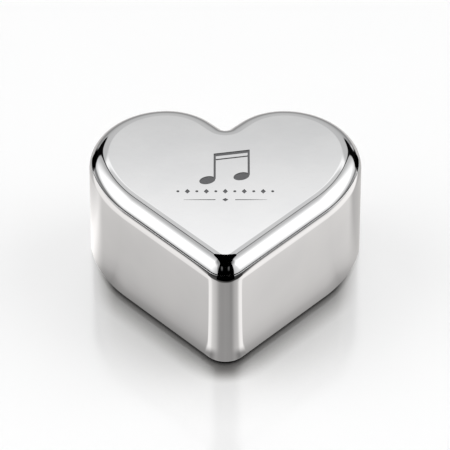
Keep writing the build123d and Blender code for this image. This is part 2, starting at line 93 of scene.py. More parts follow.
# ---- the studio, in millimetres ----
DEGREES = 180.0 / math.pi
FLOOR_RADII = (0.0, 60.0, 250.0, 900.0, 3900.0)
GLOW_RADII, GLOW_Z = (0.0, 60.0, 290.0, 900.0, 3900.0), 0.25
DOME_R, DOME_LOW, DOME_SPAN = 4000, -20, 110
FLAG_R, FLAG_LEVELS = 280, (0.3, 40, 80)
STAGE_STEPS = 96
HOOD_R, HOOD_COLS, HOOD_Y, HOOD_Z = 9.0, 14, -38.5, 39.5


def across(a):
    """Unit vector pointing out of the outline where its heading is a degrees."""
    a = math.radians(a)
    return np.array([math.sin(a), -math.cos(a)])


def along(a):
    """Unit vector along the outline where its heading is a degrees."""
    a = math.radians(a)
    return np.array([math.cos(a), math.sin(a)])


def heart_outline():
    """Points and outward normals of the whole outline, counterclockwise from the tip."""
    rest = across(SIDE_AT) * (TIP_R - FLANK_R) + across(FLANK_AT) * (FLANK_R - LOBE_R)
    rest = rest + across(180) * (LOBE_R - CROWN_R)
    rest = rest + across(CLEFT_AT) * (CROWN_R + CLEFT_R) + along(CLEFT_AT) * CLEFT_LEN
    straight = -rest[0] / math.cos(math.radians(SIDE_AT))
    tip = np.array([0.0, TIP_Y + TIP_R])
    flank = tip + across(SIDE_AT) * (TIP_R - FLANK_R) + along(SIDE_AT) * straight
    lobe = flank + across(FLANK_AT) * (FLANK_R - LOBE_R)
    crown = lobe + across(180) * (LOBE_R - CROWN_R)
    cleft = crown + across(CLEFT_AT) * (CROWN_R + CLEFT_R) + along(CLEFT_AT) * CLEFT_LEN
    points, normals = [], []

    def arc(centre, radius, a0, a1, steps, sign=1):
        for k in range(steps):
            a = a0 + (a1 - a0) * k / steps
            points.append(centre + across(a) * radius * sign)
            normals.append(across(a))

    def run(p0, p1, normal, steps):
        for k in range(steps):
            points.append(p0 + (p1 - p0) * k / steps)
            normals.append(normal)

    arc(tip, TIP_R, 0, SIDE_AT, 16)
    run(tip + across(SIDE_AT) * TIP_R, flank + across(SIDE_AT) * FLANK_R, across(SIDE_AT), 10)
    arc(flank, FLANK_R, SIDE_AT, FLANK_AT, 14)
    arc(lobe, LOBE_R, FLANK_AT, 180, 40)
    arc(crown, CROWN_R, 180, CLEFT_AT, 18)
    c1 = crown + across(CLEFT_AT) * CROWN_R
    run(c1, cleft - across(CLEFT_AT) * CLEFT_R, across(CLEFT_AT), 3)
    arc(cleft, CLEFT_R, CLEFT_AT, 180, 8, -1)
    points.append(cleft - across(180) * CLEFT_R)
    normals.append(across(180))
    p, n = np.array(points), np.array(normals)
    flip = np.array([-1.0, 1.0])
    return np.vstack([p, (p * flip)[-2:0:-1]]), np.vstack([n, (n * flip)[-2:0:-1]])


OUTLINE, OUTWARD = heart_outline()
COUNT = len(OUTLINE)


def ring(d, z):
    """The outline moved inwards by d, at height z, in millimetres."""
    return np.c_[OUTLINE - OUTWARD * d, np.full(COUNT, z)]


def curve_section(cd, cz, r, a0, a1, steps, inside=False):
    """Part of a rounded section, as rows of (d, z, outward part of the normal, upward part).

    The angle runs from outward to upward.
    """
    rows = []
    for k in range(steps + 1):
        a = math.radians(a0 + (a1 - a0) * k / steps)
        s = -1 if inside else 1
        rows.append((cd - r * math.cos(a), cz + r * math.sin(a), s * math.cos(a), s * math.sin(a)))
    return rows


def flat_section(stops, out, up):
    return [(d, z, out, up) for d, z in stops]


class Builder:
    """Collects faces with a normal at every corner, and makes one mesh of them."""

    def __init__(self):
        self.verts, self.faces, self.normals, self.slots = [], [], [], []
        self.seen, self.at_edge = {}, {}

    def vert(self, p):
        key = (round(float(p[0]), 5), round(float(p[1]), 5), round(float(p[2]), 5))
        if key not in self.seen:
            self.seen[key] = len(self.verts)
            self.verts.append((key[0] * MM, key[1] * MM, key[2] * MM))
        return self.seen[key]

    def face(self, points, normals, slot=0):
        ids = [self.vert(p) for p in points]
        keep = [k for k in range(len(ids)) if ids[k] != ids[k - 1]]
        if len(keep) < 3:
            return
        self.faces.append([ids[k] for k in keep])
        self.normals.append([tuple(normals[k]) for k in keep])
        self.slots.append(slot)

    def flat(self, points, slot=0):
        a, b, c = (np.array(p, float) for p in points[:3])
        n = np.cross(b - a, c - a)
        n = n / max(np.linalg.norm(n), 1e-12)
        self.face(points, [n] * len(points), slot)

    def strip(self, rows, slot=0):
        """Sweeps a section of (d, z, outward and upward part of the normal) round the heart."""
        rings = [ring(d, z) for d, z, _, _ in rows]
        norms = [np.c_[OUTWARD * o, np.full(COUNT, u)] for _, _, o, u in rows]
        for k in range(len(rows) - 1):
            for i in range(COUNT):
                j = (i + 1) % COUNT
                self.face(
                    [rings[k][i], rings[k][j], rings[k + 1][j], rings[k + 1][i]],
                    [norms[k][i], norms[k][j], norms[k + 1][j], norms[k + 1][i]],
                    slot,
                )

    def creased(self, edge):
        """True where the faces on an edge have different normals at its ends."""
        if not self.at_edge:
            for face, normals in zip(self.faces, self.normals):
                for k in range(len(face)):
                    pair = sorted([(face[k - 1], normals[k - 1]), (face[k], normals[k])], key=lambda v: v[0])
                    self.at_edge.setdefault((pair[0][0], pair[1][0]), []).append((pair[0][1], pair[1][1]))
        sides = self.at_edge[tuple(sorted(edge.vertices))]
        first = np.array(sides[0], float)
        return any(np.abs(np.array(s, float) - first).max() > CREASE for s in sides[1:])

    def mesh(self, name, materials):
        """The faces as one object, held inside the CAD model's box."""
        data = bpy.data.meshes.new(name)
        inside = np.clip(np.array(self.verts, float), np.array(CAD_LOW), np.array(CAD_HIGH))
        data.from_pydata(inside.tolist(), [], self.faces)
        for m in materials:
            data.materials.append(m)
        data.polygons.foreach_set("material_index", self.slots)
        data.polygons.foreach_set("use_smooth", [True] * len(self.faces))
        data.update()
        data.edges.foreach_set("use_edge_sharp", [self.creased(e) for e in data.edges])
        data.normals_split_custom_set([n for f in self.normals for n in f])
        o = bpy.data.objects.new(name, data)
        bpy.context.scene.collection.objects.link(o)
        return o


# ---------------------------------------------------------------- node helpers
class Graph:
    """Short calls for building a node tree."""

    def __init__(self, tree):
        self.tree = tree

    def node(self, kind, **settings):
        n = self.tree.nodes.new(kind)
        for k, v in settings.items():
            setattr(n, k, v)
        return n

    def put(self, socket, value):
        if isinstance(value, bpy.types.NodeSocket):
            self.tree.links.new(value, socket)
        else:
            socket.default_value = value

    def math(self, op, a, b=0.0, clamp=False):
        n = self.node("ShaderNodeMath", operation=op, use_clamp=clamp)
        self.put(n.inputs[0], a)
        if len(n.inputs) > 1:
            self.put(n.inputs[1], b)
        return n.outputs[0]

    def add(self, a, b):
        return self.math("ADD", a, b)

    def sub(self, a, b):
        return self.math("SUBTRACT", a, b)

    def mul(self, a, b):
        return self.math("MULTIPLY", a, b)

    def rise(self, value, lo, hi, to0=0.0, to1=1.0):
        """Smooth step from to0 at lo to to1 at hi."""
        n = self.node("ShaderNodeMapRange", interpolation_type="SMOOTHSTEP")
        for k, v in (("Value", value), ("From Min", lo), ("From Max", hi), ("To Min", to0), ("To Max", to1)):
            self.put(n.inputs[k], v)
        return n.outputs[0]

    def blend(self, t, a, b):
        """a where t is 0, b where it is 1."""
        return self.add(self.mul(a, self.sub(1.0, t)), self.mul(b, t))

    def place(self, scale=(1000.0, 1000.0, 1000.0), turn=(0.0, 0.0, 0.0)):
        """Object position, in millimetres times scale / 1000."""
        c = self.node("ShaderNodeTexCoord")
        m = self.node("ShaderNodeMapping")
        m.inputs["Scale"].default_value = scale
        m.inputs["Rotation"].default_value = turn
        self.put(m.inputs["Vector"], c.outputs["Object"])
        return m.outputs[0]

    def noise(self, vector, scale, detail=2.0, rough=0.5, distortion=0.0):
        n = self.node("ShaderNodeTexNoise")
        self.put(n.inputs["Vector"], vector)
        n.inputs["Scale"].default_value = scale
        n.inputs["Detail"].default_value = detail
        n.inputs["Roughness"].default_value = rough
        n.inputs["Distortion"].default_value = distortion
        return n.outputs["Fac"]

    def mix(self, t, a, b):
        """Mixes two colours."""
        n = self.node("ShaderNodeMix", data_type="RGBA")
        self.put(n.inputs["Factor"], t)
        self.put(n.inputs[6], (*a, 1.0) if isinstance(a, tuple) else a)
        self.put(n.inputs[7], (*b, 1.0) if isinstance(b, tuple) else b)
        return n.outputs[2]

    def bump(self, height, distance, strength=1.0, normal=None):
        n = self.node("ShaderNodeBump")
        self.put(n.inputs["Height"], height)
        n.inputs["Distance"].default_value = distance
        n.inputs["Strength"].default_value = strength
        if normal is not None:
            self.put(n.inputs["Normal"], normal)
        return n.outputs[0]


def material(name, **fixed):
    """A material and its graph and shader, with fixed values on the shader's own sockets."""
    m = bpy.data.materials.new(name)
    m.use_nodes = True
    m.node_tree.nodes.clear()
    g = Graph(m.node_tree)
    shader = g.node("ShaderNodeBsdfPrincipled")
    out = g.node("ShaderNodeOutputMaterial")
    m.node_tree.links.new(shader.outputs[0], out.inputs[0])
    for k, v in fixed.items():
        shader.inputs[k.replace("_", " ")].default_value = v
    return m, g, shader


# ---------------------------------------------------------------- materials
def plated(name, low, high, rough=(0.03, 0.07), fine=0.000004):
    """Polished plating: a mirror with faint polishing haze and hairlines."""
    m, g, s = material(name, Metallic=1.0)
    p = g.place()
    cloud = g.noise(p, 0.06, 2.0)
    hair = g.noise(g.place((4200.0, 180.0, 900.0), (0.0, 0.0, 0.6)), 1.0, 3.0, 0.6)
    g.put(s.inputs["Base Color"], g.mix(g.rise(cloud, 0.3, 0.7), low, high))
    haze = g.add(g.mul(g.rise(cloud, 0.35, 0.75), 0.5), g.mul(g.rise(hair, 0.5, 0.8), 0.5))
    g.put(s.inputs["Roughness"], g.blend(haze, rough[0], rough[1]))
    g.put(s.inputs["Normal"], g.bump(g.noise(p, 0.35, 2.0), fine, 0.25))
    return m


def engraved():
    """Oxidised floor of the engraving, with the marks of the cutter."""
    m, g, s = material("engraved_line", Metallic=1.0)
    cut = g.noise(g.place((9000.0, 900.0, 900.0), (0.0, 0.0, 0.8)), 1.0, 2.0)
    g.put(s.inputs["Base Color"], g.mix(cut, (0.11, 0.11, 0.115), (0.2, 0.2, 0.205)))
    g.put(s.inputs["Roughness"], g.blend(cut, 0.3, 0.5))
    g.put(s.inputs["Normal"], g.bump(cut, 0.00003, 0.6))
    return m


def brushed(name, dark, light, rough, stretch, turn=(0.0, 0.0, 0.0), depth=0.00003, tarnish=None):
    """Metal with a grain: stretch holds the lines per metre along each axis."""
    m, g, s = material(name, Metallic=1.0)
    lines = g.noise(g.place(stretch, turn), 1.0, 4.0, 0.65)
    cloud = g.noise(g.place(), 0.12, 3.0, 0.6)
    tone = g.add(g.mul(lines, 0.6), g.mul(cloud, 0.4))
    colour = g.mix(g.rise(tone, 0.3, 0.7), dark, light)
    if tarnish:
        colour = g.mix(g.rise(g.noise(g.place(), 0.3, 4.0, 0.7), 0.52, 0.78, 0.0, 0.55), colour, tarnish)
    g.put(s.inputs["Base Color"], colour)
    g.put(s.inputs["Roughness"], g.blend(g.rise(lines, 0.25, 0.75), rough[0], rough[1]))
    g.put(s.inputs["Normal"], g.bump(lines, depth, 0.5))
    return m


def cast(name, dark, light):
    """As-cast zinc: fine orange peel and flow clouds."""
    m, g, s = material(name, Metallic=1.0)
    peel = g.noise(g.place(), 2.4, 3.0, 0.6)
    flow = g.noise(g.place(), 0.25, 3.0, 0.6, 1.0)
    g.put(s.inputs["Base Color"], g.mix(g.rise(flow, 0.3, 0.7), dark, light))
    g.put(s.inputs["Roughness"], g.blend(peel, 0.38, 0.6))
    g.put(s.inputs["Normal"], g.bump(peel, 0.00006, 0.6))
    return m


def plastic(name, dark, light, rough):
    """Moulded plastic: spark-eroded texture and slight flow marks."""
    m, g, s = material(name, Metallic=0.0)
    s.inputs["Specular IOR Level"].default_value = 0.5
    grain = g.noise(g.place(), 5.0, 2.0, 0.5)
    flow = g.noise(g.place((1000.0, 1000.0, 200.0)), 0.4, 2.0)
    g.put(s.inputs["Base Color"], g.mix(flow, dark, light))
    g.put(s.inputs["Roughness"], g.blend(grain, rough[0], rough[1]))
    g.put(s.inputs["Normal"], g.bump(grain, 0.00002, 0.5))
    return m


def acrylic():
    m, g, s = material("clear_acrylic", Metallic=0.0, IOR=1.49)
    s.inputs["Transmission Weight"].default_value = 1.0
    wipe = g.noise(g.place((3500.0, 260.0, 1000.0), (0.0, 0.0, 0.5)), 1.0, 3.0, 0.6)
    cloud = g.noise(g.place(), 0.09, 2.0)
    g.put(s.inputs["Base Color"], g.mix(cloud, (0.93, 0.96, 0.955), (0.985, 0.99, 0.99)))
    g.put(s.inputs["Roughness"], g.add(g.mul(g.rise(wipe, 0.6, 0.85), 0.05), 0.015))
    return m


def velvet(name, dark, light, nap):
    """Short cotton pile: brushed patches, soft sheen on the turn and a fine cut surface."""
    m, g, s = material(name, Metallic=0.0, Roughness=0.95)
    s.inputs["Sheen Weight"].default_value = 0.8
    s.inputs["Sheen Roughness"].default_value = 0.35
    s.inputs["Sheen Tint"].default_value = (*nap, 1.0)
    s.inputs["Specular IOR Level"].default_value = 0.15
    brushed_way = g.noise(g.place((1000.0, 450.0, 1000.0)), 0.22, 3.0, 0.55, 0.6)
    pile = g.noise(g.place(), 7.0, 2.0, 0.7)
    tone = g.add(g.mul(g.rise(brushed_way, 0.35, 0.68), 0.7), g.mul(pile, 0.3))
    g.put(s.inputs["Base Color"], g.mix(tone, dark, light))
    lie = g.bump(brushed_way, 0.0004, 0.4)
    g.put(s.inputs["Normal"], g.bump(pile, 0.00012, 0.8, lie))
    return m


def felt():
    m, g, s = material("pressed_felt", Metallic=0.0, Roughness=1.0)
    s.inputs["Specular IOR Level"].default_value = 0.1
    s.inputs["Sheen Weight"].default_value = 0.35
    s.inputs["Sheen Roughness"].default_value = 0.6
    fibre = g.noise(g.place((1000.0, 1600.0, 1000.0), (0.0, 0.0, 0.7)), 3.5, 5.0, 0.75, 1.5)
    clump = g.noise(g.place(), 0.8, 3.0, 0.6)
    tone = g.mul(g.add(fibre, clump), 0.5)
    g.put(s.inputs["Base Color"], g.mix(tone, (0.012, 0.012, 0.013), (0.06, 0.06, 0.062)))
    g.put(s.inputs["Normal"], g.bump(fibre, 0.00015, 0.8))
    return m


CHROME_LOW, CHROME_HIGH = (0.555, 0.556, 0.56), (0.575, 0.575, 0.577)
SHELL = plated("plated_shell", CHROME_LOW, CHROME_HIGH)
ENGRAVED = engraved()
VELVET = velvet("black_velvet", (0.008, 0.008, 0.01), (0.035, 0.035, 0.04), (0.5, 0.5, 0.55))
FELT = felt()
BRASS = brushed(
    "brushed_brass", (0.52, 0.34, 0.1), (0.74, 0.52, 0.2),
    (0.22, 0.42), (120.0, 9000.0, 1500.0), tarnish=(0.36, 0.22, 0.08),
)
TURNED_BRASS = brushed(
    "turned_brass", (0.66, 0.45, 0.16), (0.83, 0.62, 0.27),
    (0.12, 0.26), (14000.0, 120.0, 120.0),
)
GEAR_BRASS = brushed(
    "gear_brass", (0.6, 0.4, 0.13), (0.8, 0.58, 0.23),
    (0.18, 0.34), (5000.0, 900.0, 900.0),
)
STEEL = brushed(
    "turned_steel", (0.4, 0.4, 0.41), (0.58, 0.58, 0.59),
    (0.14, 0.3), (2500.0, 2500.0, 9000.0),
)
SCREW = brushed(
    "nickelled_screw", (0.36, 0.36, 0.38), (0.55, 0.55, 0.57),
    (0.16, 0.34), (3000.0, 3000.0, 3000.0),
)
SPRING = brushed(
    "tempered_spring", (0.1, 0.11, 0.15), (0.26, 0.27, 0.32),
    (0.2, 0.36), (900.0, 900.0, 7000.0),
)
COMB = brushed(
    "ground_comb", (0.46, 0.46, 0.45), (0.66, 0.66, 0.65),
    (0.16, 0.32), (9000.0, 150.0, 900.0),
)
PLATE = brushed(
    "zinc_plate", (0.36, 0.36, 0.37), (0.5, 0.5, 0.52),
    (0.3, 0.48), (200.0, 7000.0, 900.0), tarnish=(0.42, 0.4, 0.36),
)
ZINC = cast("cast_zinc", (0.34, 0.34, 0.35), (0.46, 0.46, 0.47))
HINGE = plated("hinge_plating", (0.52, 0.52, 0.525), (0.58, 0.58, 0.58), (0.06, 0.13))
KEY = plated("key_plating", (0.56, 0.55, 0.52), (0.64, 0.63, 0.6), (0.07, 0.16))
FLY = plastic("black_nylon", (0.012, 0.012, 0.013), (0.03, 0.03, 0.032), (0.38, 0.55))
WHITE = plastic("white_acetal", (0.66, 0.66, 0.63), (0.78, 0.78, 0.76), (0.28, 0.42))
ACRYLIC = acrylic()

FINISHES = {
    "lid_shell": SHELL, "body_shell": SHELL, "lid_pad": VELVET, "velvet_lining": VELVET, "base_felt": FELT,
    "hinge_lid_leaves": HINGE, "hinge_body_leaves": HINGE, "hinge_pins": STEEL, "bottom_plate": PLATE,
    "bottom_plate_screws": SCREW, "movement_window": ACRYLIC, "bedplate": BRASS, "movement_screws": SCREW,
    "barrel_drum": GEAR_BRASS, "barrel_cap": BRASS, "mainspring": SPRING, "winding_arbor": STEEL,
    "winding_key": KEY, "barrel_bridge": BRASS, "bridge_pillars": TURNED_BRASS, "bridge_screws": SCREW,
    "clutch_spring": SPRING, "music_cylinder": TURNED_BRASS, "cylinder_shaft": STEEL,
    "cylinder_pinion": GEAR_BRASS, "cylinder_gear": GEAR_BRASS, "comb": COMB, "comb_base": ZINC,
    "comb_screws": SCREW, "governor_frame": PLATE, "governor_screws": SCREW, "governor_wheel_1": GEAR_BRASS,
    "governor_wheel_2": GEAR_BRASS, "governor_worm": STEEL, "fly": FLY, "stop_plunger": WHITE,
    "stop_bush": WHITE, "stop_spring": SPRING,
}
for node_name, finish in FINISHES.items():
    NODES[node_name].data.materials.clear()
    NODES[node_name].data.materials.append(finish)


# ---------------------------------------------------------------- casing
def angle_at(z, centre_z, radius):
    """Turn along a rounding, in degrees, at which it reaches height z."""
    return math.degrees(math.asin((z - centre_z) / radius))


def body_piece():
    """The side wall, its skirt and its bosses."""
    b = Builder()
    turn = angle_at(SEAM_Z - EDGE, TOP - TOP_R, TOP_R)
    outer = curve_section(TOP_R, TOP - TOP_R, TOP_R, 0, turn, 18)
    inner_r = TOP_R - WALL
    inner_turn = angle_at(SEAM_Z - EDGE, CEILING_Z - inner_r, inner_r)
    inner = curve_section(TOP_R, CEILING_Z - inner_r, inner_r, inner_turn, 0, 10, inside=True)
    foot = curve_section(FOOT_R, FOOT_Z + FOOT_R, FOOT_R, -90, 0, 14)
    b.strip([(SKIRT, FOOT_Z, 0, -1), (FOOT_R, FOOT_Z, 0, -1)])
    b.strip(foot)
    b.strip(flat_section([(0, FOOT_Z + FOOT_R), (0, 14), (0, 26), (0, TOP - TOP_R)], 1, 0))
    b.strip(outer)
    d0, d1 = outer[-1][0], inner[0][0]
    tilt = math.radians(turn)
    out_rim, in_rim = (d0 + EDGE_FAR, SEAM_Z, 0, 1), (d1 - EDGE_FAR, SEAM_Z, 0, 1)
    b.strip([outer[-1], (d0 + EDGE_NEAR, SEAM_Z - EDGE_NEAR, math.cos(tilt) * 0.7, 0.75), out_rim])
    b.strip([out_rim, in_rim])
    b.strip([in_rim, (d1 - EDGE_NEAR, SEAM_Z - EDGE_NEAR, -0.7, 0.7), (d1, SEAM_Z - EDGE, -1, 0)])
    b.strip(inner)
    b.strip(flat_section([(WALL, CEILING_Z - inner_r), (WALL, SHOULDER_Z)], -1, 0))
    b.strip([(WALL, SHOULDER_Z, 0, 1), (SKIRT, SHOULDER_Z, 0, 1)])
    b.strip(flat_section([(SKIRT, SHOULDER_Z), (SKIRT, FOOT_Z)], -1, 0))
    lobe_centre = (OUTLINE - OUTWARD * LOBE_R)[LOBE_POINT]
    for x, y in BOSSES:
        boss(b, x, y, lobe_centre)
    return b.mesh("body_chrome_shell", [SHELL])


def boss(b, x, y, lobe_centre):
    """Round screw boss; the part that would come through the wall is held inside it."""
    low, high = [], []
    for k in range(BOSS_STEPS):
        a = 2 * math.pi * k / BOSS_STEPS
        p = np.array([x + BOSS_R * math.cos(a), y + BOSS_R * math.sin(a)])
        centre = lobe_centre * np.array([1 if x >= 0 else -1, 1])
        far = np.linalg.norm(p - centre)
        if x and far > LOBE_R - BOSS_INSET:
            p = centre + (p - centre) * (LOBE_R - BOSS_INSET) / far
        low.append(np.array([p[0], p[1], SHOULDER_Z]))
        high.append(np.array([p[0], p[1], BOSS_TOP]))
    for k in range(BOSS_STEPS):
        j = (k + 1) % BOSS_STEPS
        turns = (2 * math.pi * k / BOSS_STEPS, 2 * math.pi * j / BOSS_STEPS)
        n = [np.array([math.cos(t), math.sin(t), 0]) for t in turns]
        b.face([low[k], low[j], high[j], high[k]], [n[0], n[1], n[1], n[0]])
    b.face(high, [(0, 0, 1)] * BOSS_STEPS)
    b.face(low[::-1], [(0, 0, -1)] * BOSS_STEPS)


# ---------------------------------------------------------------- engraving
def ellipse(cx, cy, rx, ry, turn, steps=40):
    t = math.radians(turn)
    out = []
    for k in range(steps):
        a = 2 * math.pi * k / steps
        px, py = rx * math.cos(a), ry * math.sin(a)
        out.append((cx + px * math.cos(t) - py * math.sin(t), cy + px * math.sin(t) + py * math.cos(t)))
    return out


def ribbon(points, widths):
    """A stroke of varying width along points, as a closed outline."""
    p = np.array(points, float)
    d = np.gradient(p, axis=0)
    d /= np.linalg.norm(d, axis=1)[:, None]
    n = np.c_[-d[:, 1], d[:, 0]] * (np.array(widths, float) / 2)[:, None]
    return [tuple(q) for q in np.vstack([p - n, (p + n)[::-1]])]


def emblem():
    """Two beamed quavers over a row of beads and lozenges and a thin rule: plain ornament, no letters."""
    shapes = [
        ellipse(-5.9, 0.9, 2.75, 1.9, 24),
        ellipse(5.3, 2.9, 2.75, 1.9, 24),
        [(-3.85, 1.3), (-3.15, 1.6), (-3.15, 14.5), (-3.85, 14.38)],
        [(7.35, 3.3), (8.05, 3.6), (8.05, 16.5), (7.35, 16.38)],
        [(-3.85, 14.4), (-3.85, 12.9), (8.05, 15.0), (8.05, 16.5)],
        [(-3.15, 11.6), (-3.15, 11.0), (7.35, 12.85), (7.35, 13.45)],
    ]
    pitch, row_y, rule_y = 3.1, -4.7, -8.9
    for k in range(-5, 6):
        x = pitch * k
        if k % 2 == 0:
            h, w = 1.15, 0.85
            shapes.append([(x, row_y + h), (x - w, row_y), (x, row_y - h), (x + w, row_y)])
        else:
            shapes.append(ellipse(x, row_y, 0.5, 0.5, 0, 16))
    for s in (-1, 1):
        shapes.append(ribbon([(s * x, rule_y) for x in (3.2, 8.0, 13.6)], [0.34, 0.28, 0.12]))
    shapes.append([(0, -8.1), (-1.0, rule_y), (0, -9.7), (1.0, rule_y)])
    return shapes


def lid_top(b):
    """The flat of the lid with the engraving cut into it."""
    rim = OUTLINE - OUTWARD * TOP_R
    verts = [Vector(p) for p in rim]
    faces = [list(range(COUNT))]
    for outline in emblem():
        area = sum(p[0] * q[1] - q[0] * p[1] for p, q in zip(outline, outline[1:] + outline[:1]))
        outline = outline if area > 0 else outline[::-1]
        faces.append(list(range(len(verts), len(verts) + len(outline))))
        verts += [Vector(p) for p in outline]
    co, _, tris, _, _, origin = delaunay_2d_cdt(verts, [], faces, 1, 1e-6, True)
    # the triangulation also covers the cleft, so only what lies in the rim, which is face 0, is kept
    inside = [0 in src for src in origin]
    tris = [t for t, ok in zip(tris, inside) if ok]
    cut = [any(f > 0 for f in src) for src, ok in zip(origin, inside) if ok]
    owner = {}
    for t, tri in enumerate(tris):
        for a, c in zip(tri, list(tri[1:]) + [tri[0]]):
            owner[(a, c)] = t

    def at(v, low):
        return np.array([co[v][0], co[v][1], TOP - ENGRAVING_DEPTH if low else TOP])

    up = (0.0, 0.0, 1.0)
    for t, tri in enumerate(tris):
        pts = [at(v, cut[t]) for v in tri]
        if np.cross(pts[1] - pts[0], pts[2] - pts[0])[2] < 0:
            pts = pts[::-1]
        b.face(pts, [up] * 3, 1 if cut[t] else 0)
    for (a, c), t in owner.items():
        other = owner.get((c, a))
        if cut[t] and other is not None and not cut[other]:
            b.flat([at(c, False), at(a, False), at(a, True), at(c, True)], 1)


def lid_piece():
    """The lid, with the engraving in its flat top."""
    b = Builder()
    turn = angle_at(LID_Z + EDGE, TOP - TOP_R, TOP_R)
    inner_r = TOP_R - WALL
    inner_turn = angle_at(LID_Z + EDGE, CEILING_Z - inner_r, inner_r)
    outer = curve_section(TOP_R, TOP - TOP_R, TOP_R, turn, 90, 40)
    inner = curve_section(TOP_R, CEILING_Z - inner_r, inner_r, 90, inner_turn, 12, inside=True)
    d0, d1 = outer[0][0], inner[-1][0]
    in_rim, out_rim = (d1 - EDGE_FAR, LID_Z, 0, -1), (d0 + EDGE_FAR, LID_Z, 0, -1)
    b.strip([(d1, LID_Z + EDGE, -1, 0), (d1 - EDGE_NEAR, LID_Z + EDGE_NEAR, -0.7, -0.7), in_rim])
    b.strip([in_rim, out_rim])
    b.strip([out_rim, (d0 + EDGE_NEAR, LID_Z + EDGE_NEAR, 0.75, -0.65), outer[0]])
    b.strip(outer)
    b.strip(inner)
    lid_top(b)
    under = ring(TOP_R, CEILING_Z)[::-1]
    b.face(under, [(0.0, 0.0, -1.0)] * COUNT)
    return b.mesh("lid_chrome_shell", [SHELL, ENGRAVED])


body = body_piece()
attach(body, "casing")
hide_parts("body_shell")
lid = lid_piece()
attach(lid, "lid")
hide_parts("lid_shell")


# ---------------------------------------------------------------- soft pieces
def soft_ring(name, rows, finish, swell):
    """A padded strip: a closed section swept round the heart, with a gentle unevenness along it."""
    verts, faces = [], []
    count = len(rows)
    for i in range(COUNT):
        t = 2 * math.pi * i / COUNT
        lift = swell * (0.5 * math.sin(9 * t + 0.7) + 0.3 * math.sin(17 * t) + 0.2 * math.sin(31 * t + 2.0))
        for d, z, give in rows:
            p = OUTLINE[i] - OUTWARD[i] * (d + lift * give)
            verts.append((p[0] * MM, p[1] * MM, z * MM))
    for i in range(COUNT):
        j = (i + 1) % COUNT
        for k in range(count):
            m = (k + 1) % count
            faces.append((i * count + k, j * count + k, j * count + m, i * count + m))
    data = bpy.data.meshes.new(name)
    data.from_pydata(verts, [], faces)
    data.materials.append(finish)
    data.polygons.foreach_set("use_smooth", [True] * len(faces))
    data.update()
    o = bpy.data.objects.new(name, data)
    bpy.context.scene.collection.objects.link(o)
    sub = o.modifiers.new("smooth", "SUBSURF")
    sub.levels = sub.render_levels = 1
    return o


LINING = [
    (1.86, 33.2, 0), (1.86, 34.6, 0), (1.9, 36.0, 0), (2.2, 37.0, 0), (2.55, 37.5, 0.2), (2.95, 37.56, 0.6),
    (3.32, 37.2, 1), (3.5, 36.4, 1), (3.56, 35.4, 1), (3.54, 34.4, 1), (3.4, 33.5, 0.8), (3.1, 33.0, 0.3),
    (2.4, 32.94, 0), (1.98, 32.98, 0),
]
lining = soft_ring("velvet_lining_strip", LINING, VELVET, 0.04)
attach(lining, "casing")
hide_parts("velvet_lining")

FELT_SECTION = [
    (1.74, 0.12, 0), (1.72, 0.32, 0), (1.78, 0.52, 0), (1.95, 0.59, 0), (2.9, 0.595, 0), (3.85, 0.59, 0),
    (4.02, 0.52, 0.5), (4.08, 0.32, 1), (4.04, 0.12, 1), (3.85, 0.02, 0.3), (2.9, 0.005, 0), (1.95, 0.02, 0),
]
felt_ring = soft_ring("felt_foot_ring", FELT_SECTION, FELT, 0.02)
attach(felt_ring, "casing")
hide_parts("base_felt")


def pad_blank(scale):
    """The lid pad before it is stuffed: a closed slab with a rounded rim, enlarged for the cloth solver."""
    section = [(7.6, 40.3), (7.25, 40.15), (7.15, 39.85), (7.25, 39.6), (7.7, 39.45)]
    verts, faces = [], []
    for d, z in section:
        verts += [tuple(v * scale) for v in ring(d, z)]
    for k in range(len(section) - 1):
        for i in range(COUNT):
            j = (i + 1) % COUNT
            faces.append((k * COUNT + j, k * COUNT + i, (k + 1) * COUNT + i, (k + 1) * COUNT + j))
    faces.append(tuple(range(COUNT)))
    last = (len(section) - 1) * COUNT
    faces.append(tuple(range(last + COUNT - 1, last - 1, -1)))
    data = bpy.data.meshes.new("lid_velvet_pad")
    data.from_pydata(verts, [], faces)
    data.update()
    o = bpy.data.objects.new("lid_velvet_pad", data)
    bpy.context.scene.collection.objects.link(o)
    return o


def applied(o):
    """Replaces the object's mesh by what its modifiers make."""
    dg = bpy.context.evaluated_depsgraph_get()
    data = bpy.data.meshes.new_from_object(o.evaluated_get(dg))
    o.modifiers.clear()
    o.data = data


def inset(points):
    """How far inside the outline each point is, in millimetres, from the nearest stretch of outline."""
    out = []
    for q in points:
        away = OUTLINE - q
        k = int(np.argmin((away ** 2).sum(1)))
        out.append(float((away[k] * OUTWARD[k]).sum()))
    return np.array(out)


